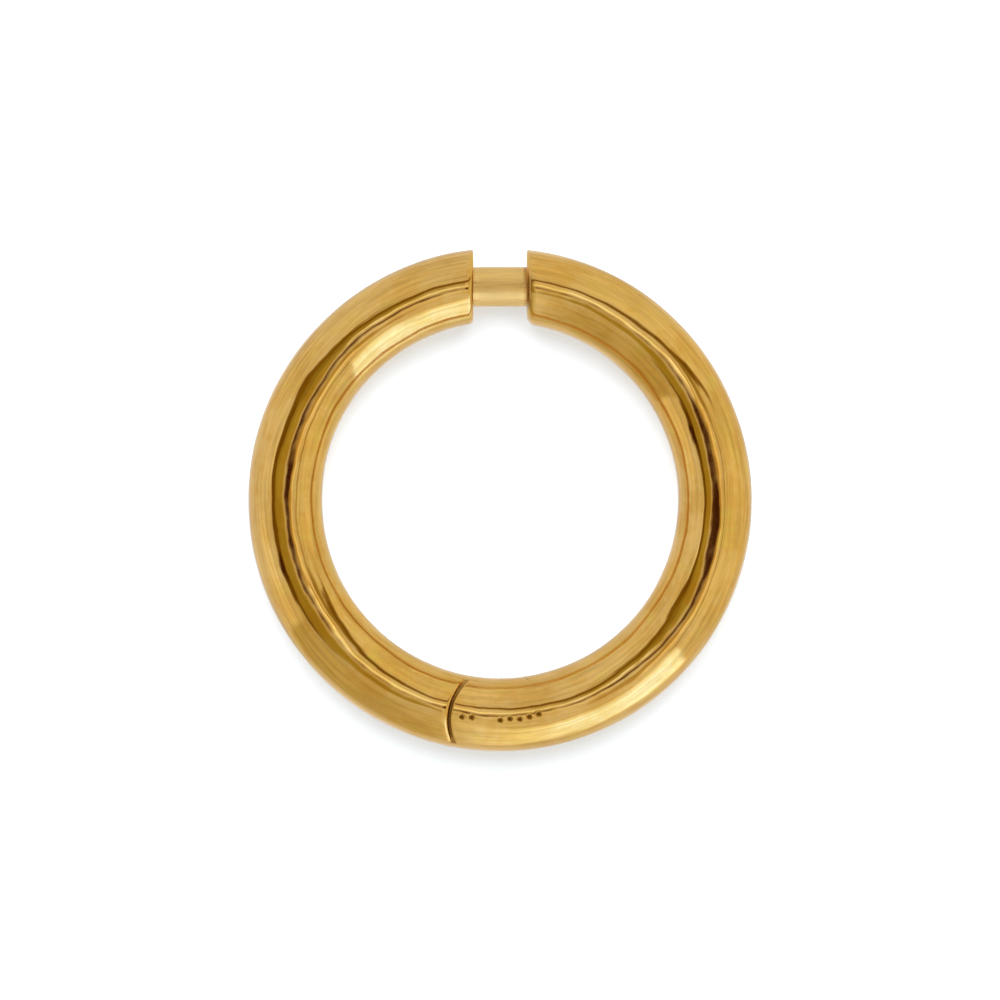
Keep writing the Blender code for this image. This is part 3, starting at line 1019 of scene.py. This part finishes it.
class EARRING_OT_hinge_pin(bpy.types.Operator):
    """Add the hinge pin: a short rod with softened ends"""

    bl_idname = "earring.hinge_pin"
    bl_label = "Hinge pin"

    def execute(self, context):
        post, kit = context.scene.post_sizes, derived(context)
        profile = rounded_rod(
            post.pin_low, post.pin_high, post.pin_diameter / 2, post.pin_round, post.pin_round
        )
        rings = turned_rings(profile, HINGE_PLACE, "Z", POST_SIDES)
        foot = (*HINGE_PLACE[:2], post.pin_low)
        head = (*HINGE_PLACE[:2], post.pin_high)
        item = add_object("hinge_rivet", closed_mesh("hinge_rivet", foot, rings, head))
        # Painted shade in the seam also darkens the hinge pin
        mark_surface(item.data, kit)
        finish_metal(item, shared_material(mirror_gold, context.scene.gold_finishes))
        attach(item, "long_half")
        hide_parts("hinge_pin")
        return {"FINISHED"}


class EARRING_OT_studio(bpy.types.Operator):
    """Add the pale floor, the room's light, the wide light over the floor and the camera"""

    bl_idname = "earring.studio"
    bl_label = "Studio"

    def execute(self, context):
        studio, kit = context.scene.studio_settings, derived(context)
        context.scene.view_settings.view_transform = "Standard"
        outline = FLOOR_REACH * np.array([(-1, -1), (1, -1), (1, 1), (-1, 1)])
        floor_mesh = bpy.data.meshes.new("floor")
        points = np.column_stack([outline, np.full(4, -FLOOR_DEPTH)])
        floor_mesh.from_pydata(points.tolist(), [], [(0, 1, 2, 3)])
        floor = add_object("floor", floor_mesh)
        floor_mesh.materials.append(floor_material())
        floor.visible_glossy = False

        world = bpy.data.worlds.new("studio_room")
        context.scene.world = world
        fill_room(world, studio)

        for name, strength, tilt, spread in (
            ("fill_light", studio.fill_light, 0.0, 0.0),
            ("top_light", studio.top_light, 0.0, studio.top_light_spread),
            ("side_light", studio.side_light, studio.side_light_tilt, studio.side_light_spread),
        ):
            lamp = bpy.data.lights.new(name, "SUN")
            lamp.energy = strength
            lamp.angle = spread
            lamp.color = studio.light_tint
            lamp.use_shadow = name != "fill_light"
            lamp_item = add_object(name, lamp)
            lamp_item.rotation_euler = (-tilt, 0, 0)
            lamp_item.visible_glossy = False

        camera = bpy.data.cameras.new("camera")
        camera.lens = studio.lens
        camera.sensor_width = SENSOR_WIDTH
        camera.clip_start = CLIP_START
        camera.clip_end = CLIP_END
        item = add_object("camera", camera)
        item.location = (0, 0, kit["tube"] + studio.view_width * studio.lens / SENSOR_WIDTH)
        context.scene.camera = item
        return {"FINISHED"}


class EARRING_PT_panel(bpy.types.Panel):
    """Lists the earring's pieces and sizes"""

    bl_label = "Hinged hoop earring"
    bl_idname = "EARRING_PT_panel"
    bl_space_type = "VIEW_3D"
    bl_region_type = "UI"
    bl_category = "Earring"

    def draw(self, context):
        layout = self.layout
        for operator in OPERATORS:
            layout.operator(operator.bl_idname)
        for group in GROUPS:
            settings = getattr(context.scene, group)
            box = layout.box()
            for name in settings.bl_rna.properties.keys():
                if name not in ("rna_type", "name"):
                    box.prop(settings, name)


OPERATORS = (
    EARRING_OT_long_arc,
    EARRING_OT_short_arc,
    EARRING_OT_ear_post,
    EARRING_OT_hinge_pin,
    EARRING_OT_studio,
)
GROUPS = {
    "hoop_sizes": HoopSizes,
    "post_sizes": PostSizes,
    "gold_finishes": GoldFinishes,
    "studio_settings": StudioSettings,
}


def register():
    for item in (*GROUPS.values(), *OPERATORS, EARRING_PT_panel):
        bpy.utils.register_class(item)
    for name, group in GROUPS.items():
        setattr(bpy.types.Scene, name, PointerProperty(type=group))


def unregister():
    for name in GROUPS:
        delattr(bpy.types.Scene, name)
    for item in reversed((*GROUPS.values(), *OPERATORS, EARRING_PT_panel)):
        bpy.utils.unregister_class(item)


def main():
    register()
    bpy.ops.earring.long_arc()
    bpy.ops.earring.short_arc()
    bpy.ops.earring.ear_post()
    bpy.ops.earring.hinge_pin()
    bpy.ops.earring.studio()


if __name__ == "__main__":
    main()
